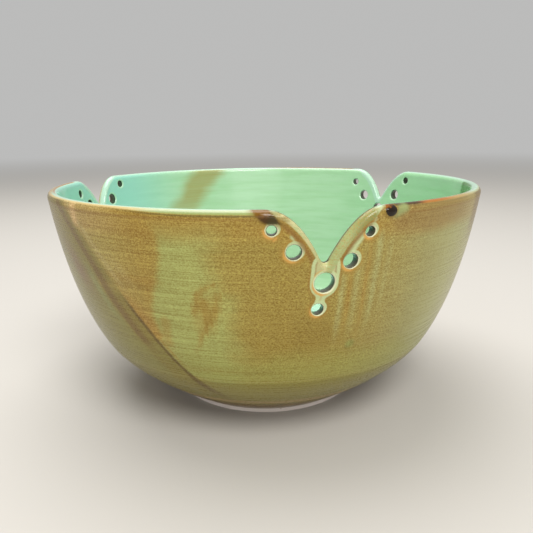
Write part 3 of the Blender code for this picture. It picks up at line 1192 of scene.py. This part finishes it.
# %% The overlapping dips
DIP_LINE = ((91, -56.8), (64, -45), (41, -36.1), (16, -23.7))  # height in mm, turn in degrees
DIP_LEAN = 0.778  # share of a step round the pot that leads straight away from the line
DIP_MIDDLE = -95  # turn about which the dip rises again, towards the back
BEYOND_DIP = (0.215, 0.172, 0.034)
DIP_BAND_BROWN = (0.165, 0.092, 0.022)
DIP_GLOW = (0.36, 0.205, 0.042)
DIP_CREAM = (0.42, 0.33, 0.125)
DIP_OLIVE = (0.24, 0.222, 0.06)
DIP_GREEN = (0.265, 0.285, 0.105)
DIP_PINK_SHEEN = (0.215, 0.12, 0.055)
DIP_GOLD = (0.64, 0.43, 0.18)

from_dip_middle = abs(turn - DIP_MIDDLE) + DIP_MIDDLE
past_dip = (from_dip_middle - along_curve(height, DIP_LINE)) * (MM_PER_DEGREE * DIP_LEAN)
past_dip = past_dip + clouds * 0.3 + specks * 0.12
high = up(66, 74)
beyond = fade(past_dip, 0.5, -0.5) * (1 - high)
beyond = beyond.math("MAXIMUM", fade(past_dip, 1.5, -2) * high)
band_place = past_dip + 6.3 - up(64, 80) * 1.6 + lines * 0.5
dip_band = fade(band_place, -2.9, -1.6) * fade(band_place, 3, 0) * up(40, 50)
green_patch = line(band_place + clouds, -6, 3) * up(80, 70) * up(50, 62)
# A painted pinkish sheen on the left, beyond the dip's second line
pink_sheen_patch = line(band_place + clouds, -13, 8) * line(height + clouds, 73, 15)
gold_spot = line(turn + clouds * 0.5, -57.5, 2.2) * up(90, 95)
glaze = coats(
    glaze,
    (DIP_GLOW, fade(past_dip, 8, 1) * line(height, 58, 17) * 0.75),
    (DIP_CREAM, line(past_dip, 2.6, 2.2) * up(66, 76) * 0.6),
    (DIP_CREAM, line(past_dip + clouds, 7, 4) * line(height, 77, 11) * 0.3),
    (BEYOND_DIP, beyond * 0.85),
    (DIP_BAND_BROWN, dip_band * 0.66),
    (DIP_OLIVE, fade(band_place, -2, -5) * up(84, 70) * 0.6),
    (DIP_GREEN, green_patch * 0.5),
    # painted sheen
    (DIP_PINK_SHEEN, pink_sheen_patch * 0.75),
    (DIP_GOLD, gold_spot * 0.9),
)
so_far("dips", tree)

# %% Level lines, the foot and the edge of the dip
BELOW_LINE = (0.218, 0.18, 0.034)
LINE_PALE = (0.39, 0.32, 0.12)
FOOT_TAN = (0.43, 0.3, 0.135)
FOOT_BROWN = (0.19, 0.11, 0.026)
DIP_EDGE_BROWN = (0.11, 0.06, 0.009)

level = height + clouds * 0.3 + lines * 0.25
edge_strength = up(69, 60) * up(13, 30)
edge_half = 1.3 + up(38, 26) * 1.8
edge_line = fade(abs(past_dip + 0.4) / edge_half, 1, 0.3)
glaze = coats(
    glaze,
    (BELOW_LINE, fade(level, 31.9, 31) * 0.7),
    (LINE_PALE, line(level, 32.3, 0.6) * 0.3),
    (FOOT_TAN, line(level, 14.8, 3) * 0.8),
    (FOOT_BROWN, fade(level, 13, 10.5) * 0.8),
    (DIP_EDGE_BROWN, edge_line * edge_strength * 0.72),
    (SIENNA, line(past_dip, 1.5, 1.3) * edge_strength * up(36, 44) * 0.6),
)
so_far("lines and foot", tree)

# %% The mottling
THIN_LOSES = (0.75, 1, 1.35)  # where it is thin, the glaze loses blue first, then green


def mottle(colour, thickness):
    """Thicker glaze, above 0, is paler and greener. Thinner glaze, below 0, turns rusty."""
    thickness = thickness.math("MAXIMUM", -0.8)
    thickness = thickness + thickness * thickness * 0.45 - 0.03
    parts = [thickness * loses + 1 for loses in THIN_LOSES]
    return vector_math(colour.tree, "MULTIPLY", colour, vector(colour.tree, *parts))


behind_dip = fade(past_dip, 2, -2)
hatching = near(turn, -75, 66, 50) * up(18, 45)
brushed = lines * (0.17 + 0.28 * hatching * (1 - behind_dip * 0.75))
grainy = near(turn, -73, 107, 89) * up(22, 44)
grainy = grainy * (1 - behind_dip * 0.6) * (1 - olive_zone * 0.5)
speckled = (specks + freckles * 0.5) * (0.18 + 0.64 * grainy)
glaze = mottle(glaze, brushed + speckled)
so_far("mottling", tree)

# %% Where glaze gathers at the holes and below the notch, and where shade is painted in the bores
edge = use_group(tree, hole_group, turn, height)
upper_edge = use_group(tree, hole_group, turn - 0.25, height - 0.6)
lower_edge = use_group(tree, hole_group, turn + 0.25, height + 0.5)
run, large_edge = use_group(tree, run_group, turn, height)
uneven = freckles * 0.14 + clouds * 0.2 + lines * 0.08
ribbon = run + uneven * 1.3
inner_tan = fade(ribbon, -1.15, -1.5) * fade(large_edge, 0.7, 1.1)
arch = line(large_edge + uneven, 1, 0.5) * fade(ribbon, -0.9, -1.4)
rust_lines = line(ribbon, -1.5, 0.55) * fade(large_edge, 0.8, 1.4) * up(73, 76)
wisps = (
    stroke((8.8, 86.2), (12.2, 91.6), 1.25),
    stroke((-11.9, 92.2), (-10.4, 89.8), 0.25),
    stroke((16.2, 95), (16.9, 97), 0.2),
)
crumbs = fade(stroke((-17.4, 91), (-16.7, 91.8)) + freckles * 0.9, 0.6, 0)
glow = fade(lower_edge + uneven * 1.5, 1.15, 0.2) * fade(upper_edge, 1, 1.5)
ring_strength = 0.3 + 0.65 * fade(upper_edge, 1.4, 0.6)
# The bores are painted dark: glaze pooled there, with painted shade in each hole
in_bore = fade(edge, 0.28, 0.12)
so_far("places round the holes", tree)

# %% Colours at the holes and below the notch
HOLE_CREAM = (0.68, 0.68, 0.45)
HALO_GREEN = (0.47, 0.565, 0.29)
HOLE_GLOW = (0.56, 0.3, 0.07)
RUST = (0.22, 0.11, 0.022)
RUN_TAN = (0.42, 0.36, 0.16)

glaze = coats(
    glaze,
    (SIENNA, fade(edge + uneven, 3.4, 0.8) * 0.6),
    (RUST, line(ribbon, 0.5, 0.7) * 0.35),
    (HALO_GREEN, fade(ribbon, 0.2, -0.2) * 0.85),
    (RUN_TAN, inner_tan * 0.6),
    (HOLE_GLOW, arch * 0.6),
    (RUST, rust_lines * 0.5),
    (HOLE_CREAM, line(large_edge + uneven * 0.5, 0.45, 0.4) * 0.7),
    (HALO_GREEN, fade(least(wisps) + uneven * 1.5 + lines * 0.4, 0.7, -0.5) * 0.8),
    (HOLE_GLOW, crumbs * 0.8),
    (HALO_GREEN, fade(upper_edge + uneven, 0.95, 0.6) * 0.8),
    (HOLE_GLOW, glow * 0.95),
    (HOLE_CREAM, fade(edge + uneven, 0.62, 0.4) * ring_strength),
    # painted shade in the bores, over the dark glaze that pools there
    (DARK_POOL_AND_SHADE, in_bore * 0.92),
)
so_far("holes", tree)

# %% The lip
rim_line = line(below + uneven, 3.1, 0.6) * fade(drop, 2.5, 0.3)
flank_middle = 3.1 + fade(side, -0.4, 0.6) * 0.6
flank_line = line(below + uneven, flank_middle, 1.8) * fade(drop, 0.3, 2.5)
glaze = paint(glaze, RUST, (rim_line * 0.4 + flank_line * 0.85) * fade(run, 0, 1))
glaze, band = use_group(tree, lip_paint_group, glaze, turn, *lip_place, freckles, lines)
so_far("lip", tree)

# %% The bead and the blob
BEAD_BLACK = (0.014, 0.008, 0.004)
BEAD_RUST = (0.24, 0.08, 0.01)
POOL_GREEN = (0.26, 0.32, 0.125)
BLOB_OLIVE = (0.03, 0.022, 0.002)
BLOB_BROWN = (0.05, 0.018, 0.001)
BLOB_RUST = (0.165, 0.07, 0.005)

bead_out = stroke((22.3, 99.3), (22.6, 99.3)) + uneven
bead = fade(bead_out, 2.35, 1.95)
rusty_side = fade(height - across * 0.35 + specks * 0.9, 92.2, 93.4)
bead_colour = paint(BEAD_BLACK, BEAD_RUST, rusty_side)
pool = fade(stroke((24.6, 98.2), (28.4, 99.6)) + uneven * 2, 2.8, 0.4)

left_of_blob = (across + 24.8) * 0.75 + (height - 100.6) * 0.66
right_of_blob = (across + 18.4) * -0.76 + (height - 100.6) * -0.65
blob_in = left_of_blob.math("SMOOTH_MIN", right_of_blob, 0.8)
blob_in = blob_in.math("SMOOTH_MIN", height - 96.1, 1.6) + uneven * 2.4
blob = fade(blob_in, -0.4, 0.7)
blob_colour = coats(
    BLOB_BROWN,
    (BLOB_OLIVE, fade(across - height * 0.4 + specks * 0.5, -59.8, -57.4)),
    (BLOB_RUST, fade(height - across * 0.2 + specks * 1.2, 102, 104.5)),
)
glaze = coats(
    glaze,
    (POOL_GREEN, pool * 0.8),
    (DARK_BROWN, fade(bead_out, 3.6, 2.4) * 0.6),
    (bead_colour, bead),
    (DARK_BROWN, fade(blob_in, -1.9, 0) * 0.45),
    (blob_colour, blob * 0.95),
)
glassy = bead.math("MAXIMUM", blob).math("MAXIMUM", in_bore)
so_far("bead and blob", tree)

# %% The shine of the outside
OUTSIDE_SHINE = 0.28
satin = 0.28 + specks * 0.04 + lines * 0.03 - band * 0.08
relief = lines * 0.5 + specks * 0.3 + fade(ribbon, 0.3, -0.5) + fade(edge, 1, 0.3)
shader = end_finish(tree, glaze, satin * (1 - glassy * 0.55), relief, strength=0.25, depth=0.00008)
feed(shader.inputs["Specular IOR Level"], OUTSIDE_SHINE)

# %% [markdown]
# ## The inside glaze
#
# A pale celadon, poured in and swirled round, so it is glossy and even. What breaks it is a faint
# band at each turn of the potter's fingers, a tan smear opposite the front notch, and a green band
# where two pours overlap.

# %% Colours of the inside
MINT = (0.335, 0.545, 0.31)
PALE_MINT = (0.395, 0.6, 0.375)
BLUE_MINT = (0.27, 0.59, 0.495)
RIGHT_MINT = (0.245, 0.58, 0.28)
LOW_SHADE_TEAL = (0.15, 0.42, 0.33)

tree, place, (lines, specks, freckles, clouds), lip_place = start_glaze(inside_finish)
turn, height, reach, round_place = place
round_floor = vector_math(tree, "MULTIPLY", round_place, (0.035, 0.035, 0))
up_rings = vector(tree, 0, 0, (height + reach) * 0.3)
rings = grain(vector_math(tree, "ADD", round_floor, up_rings), 1, 1, 2)
round_back = turn.math("WRAP", 360, 0)
off_floor = fade(reach, 25, 70)
mint = coats(
    MINT,
    (PALE_MINT, fade(rings + clouds * 0.6 + specks * 0.2, -0.9, 0.9)),
    (BLUE_MINT, near(round_back, 258, 62, 30) * off_floor * 0.85),
    (RIGHT_MINT, near(turn, 75, 75, 20) * off_floor * 0.4),
)
# Painted shade: the inside is darkened a little towards the bottom, below 84 mm
mint = shade(mint, 0.92 + up(55, 84) * 0.08)
# Painted shade low in the bowl: the inside turns a darker teal towards the floor
mint = paint(mint, LOW_SHADE_TEAL, fade(height + clouds, 26, 13) * 0.75)
so_far("inside", tree)

# %% The smear, the pour, the holes and the lip
SMEAR = (0.32, 0.295, 0.095)
POUR_GREEN = (0.055, 0.2, 0.022)
INNER_RING = (0.44, 0.66, 0.43)
BORE_SHADE_GREEN = (0.022, 0.04, 0.016)

smear_middle = 190 + (HEIGHT * MM - height) * 0.5
smear = fade(abs(round_back - smear_middle + clouds * 3 + lines), 9.5, 2.5)
smear = smear * up(55, 88)
pour = near(round_back + clouds * 2 + lines, 67, 8, 5) * up(60, 96)
edge = use_group(tree, hole_group, turn, height)
mint = coats(
    mint,
    (SMEAR, smear * (0.85 + lines * 0.15)),
    (POUR_GREEN, pour * 0.95),
    (INNER_RING, fade(edge + specks * 0.12 + clouds * 0.15, 1.3, 0.7) * 0.7),
    # painted shade in the bores
    (BORE_SHADE_GREEN, fade(edge, 0.28, 0.12) * 0.92),
)
mint, _ = use_group(tree, lip_paint_group, mint, turn, *lip_place, freckles, lines)
end_finish(tree, mint, 0.14 + abs(rings) * 0.05, rings, strength=0.2, depth=0.0001)

# %% [markdown]
# ## The bare clay
#
# Unglazed stoneware is matte and pale, with fine grog and a few iron specks.

# %% Colours of the clay
CLAY, PALE_CLAY = (0.78, 0.69, 0.63), (0.87, 0.79, 0.74)
GROOVE_SHADE_TAN = (0.55, 0.47, 0.4)
IRON_BROWN = (0.3, 0.19, 0.12)

bare_finish.use_nodes = True
tree = bare_finish.node_tree
reach = use_group(tree, place_group)[2]
in_mm = place_in_mm(tree)
grog = grain(in_mm, 1.6, 1.6, 3, 0.65)
patches = grain(in_mm, 0.06, 0.06, 2)
iron = grain(in_mm, 0.9, 0.9, 0)
grooves = abs(calculate(tree, "SINE", reach * (math.pi / GROOVE_PITCH / MM)))
clay_colour = coats(
    CLAY,
    (PALE_CLAY, fade(patches + grog * 0.5, -1, 1)),
    # painted shade at the bottoms of the trimming grooves
    (GROOVE_SHADE_TAN, grooves * 0.18),
    (IRON_BROWN, fade(iron, 1.02, 1.18) * 0.8),
)
end_finish(tree, clay_colour, 0.82 + grog * 0.06, grog, strength=0.5, depth=0.0001)

# %% [markdown]
# ## The studio
#
# The pot stands on a wide, plain, pale floor under soft light. Far from the pot, the floor fades
# to the colour of the world behind it, so no horizon shows. A big soft lamp hangs overhead, one is
# high in front and a weak one is low in front, so that a colour renders about as it is written.
# The camera looks slightly down over the rim from a little to the left of the front notch.

# %% Floor
PAPER = (0.53, 0.505, 0.465)
BACKDROP = (0.5, 0.5, 0.495)
BLACK = (0, 0, 0)
FLOOR_WIDTH, FADED_OUT = 60, 3  # metres

bpy.ops.object.select_all(action="DESELECT")
bpy.ops.mesh.primitive_plane_add(size=FLOOR_WIDTH)
floor = bpy.context.object
floor.name = "floor"
paper = bpy.data.materials.new("pale_paper")
paper.use_nodes = True
tree = paper.node_tree
shader = tree.nodes["Principled BSDF"]
far = fade(vector_math(tree, "DISTANCE", place_in_mm(tree), (0, 0, 0)), 500, FADED_OUT * MM)
rays = add_node(tree, "LightPath")
seen = Signal(tree, rays.outputs["Is Camera Ray"])
for ray in ("Is Glossy Ray", "Is Transmission Ray"):
    seen = seen.math("MAXIMUM", Signal(tree, rays.outputs[ray]))
feed(shader.inputs["Base Color"], paint(PAPER, BLACK, far))
feed(shader.inputs["Emission Color"], paint(BLACK, BACKDROP, far * seen))
for socket, value in (("Roughness", 0.9), ("Specular IOR Level", 0), ("Emission Strength", 1)):
    feed(shader.inputs[socket], value)
floor.data.materials.append(paper)
floor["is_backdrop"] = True
print(f"floor: {FLOOR_WIDTH} m wide, fading to the backdrop {FADED_OUT} m from the pot")

# %% Lamps and world
LAMPS = (  # name, place and size in metres, watts
    ("overhead_lamp", (-0.1, 0.25, 1.1), 1, 11),
    ("front_lamp", (0.1, -0.95, 1.05), 0.7, 13.5),
    ("low_lamp", (-0.15, -1.3, 0.26), 0.9, 3),
)
for name, place, size, watts in LAMPS:
    bpy.ops.object.light_add(type="AREA", location=place)
    lamp = bpy.context.object
    lamp.name = name
    lamp.data.shape = "DISK"
    lamp.data.size = size
    lamp.data.energy = watts
    aim = Vector((0, 0, HEIGHT / 2)) - Vector(place)
    lamp.rotation_euler = aim.to_track_quat("-Z", "Y").to_euler()

world = bpy.data.worlds.new("studio")
bpy.context.scene.world = world
world.use_nodes = True
background = world.node_tree.nodes["Background"]
feed(background.inputs["Color"], (*BACKDROP, 1))
feed(background.inputs["Strength"], 1)
bpy.context.scene.view_settings.view_transform = "Standard"
print(f"{len(LAMPS)} soft lamps")

# %% Camera
CAMERA_TURN, CAMERA_YAW = math.radians(-11.935), math.radians(-0.14)
CAMERA_PITCH, CAMERA_ROLL = math.radians(14.12), math.radians(-0.69)
CAMERA_DISTANCE, CAMERA_HEIGHT = 2.7208 * RIM_RADIUS, 1.2589 * RIM_RADIUS

lens = bpy.data.cameras.new("camera")
lens.lens = 36.975
lens.shift_y = 0.00092
lens.clip_start = 0.01
camera = bpy.data.objects.new("camera", lens)
bpy.context.scene.collection.objects.link(camera)
in_front = Vector((0, -CAMERA_DISTANCE, CAMERA_HEIGHT))
camera.location = Matrix.Rotation(CAMERA_TURN, 3, "Z") @ in_front
look = Matrix.Rotation(CAMERA_TURN + CAMERA_YAW, 4, "Z")
look = look @ Matrix.Rotation(math.pi / 2 - CAMERA_PITCH, 4, "X")
look = look @ Matrix.Rotation(CAMERA_ROLL, 4, "Z")
camera.rotation_euler = look.to_euler()
bpy.context.scene.camera = camera
print(f"camera: {1000 * camera.location.length:.0f} mm from the foot's centre")

# %% Measure the sizes, and finish
low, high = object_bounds()
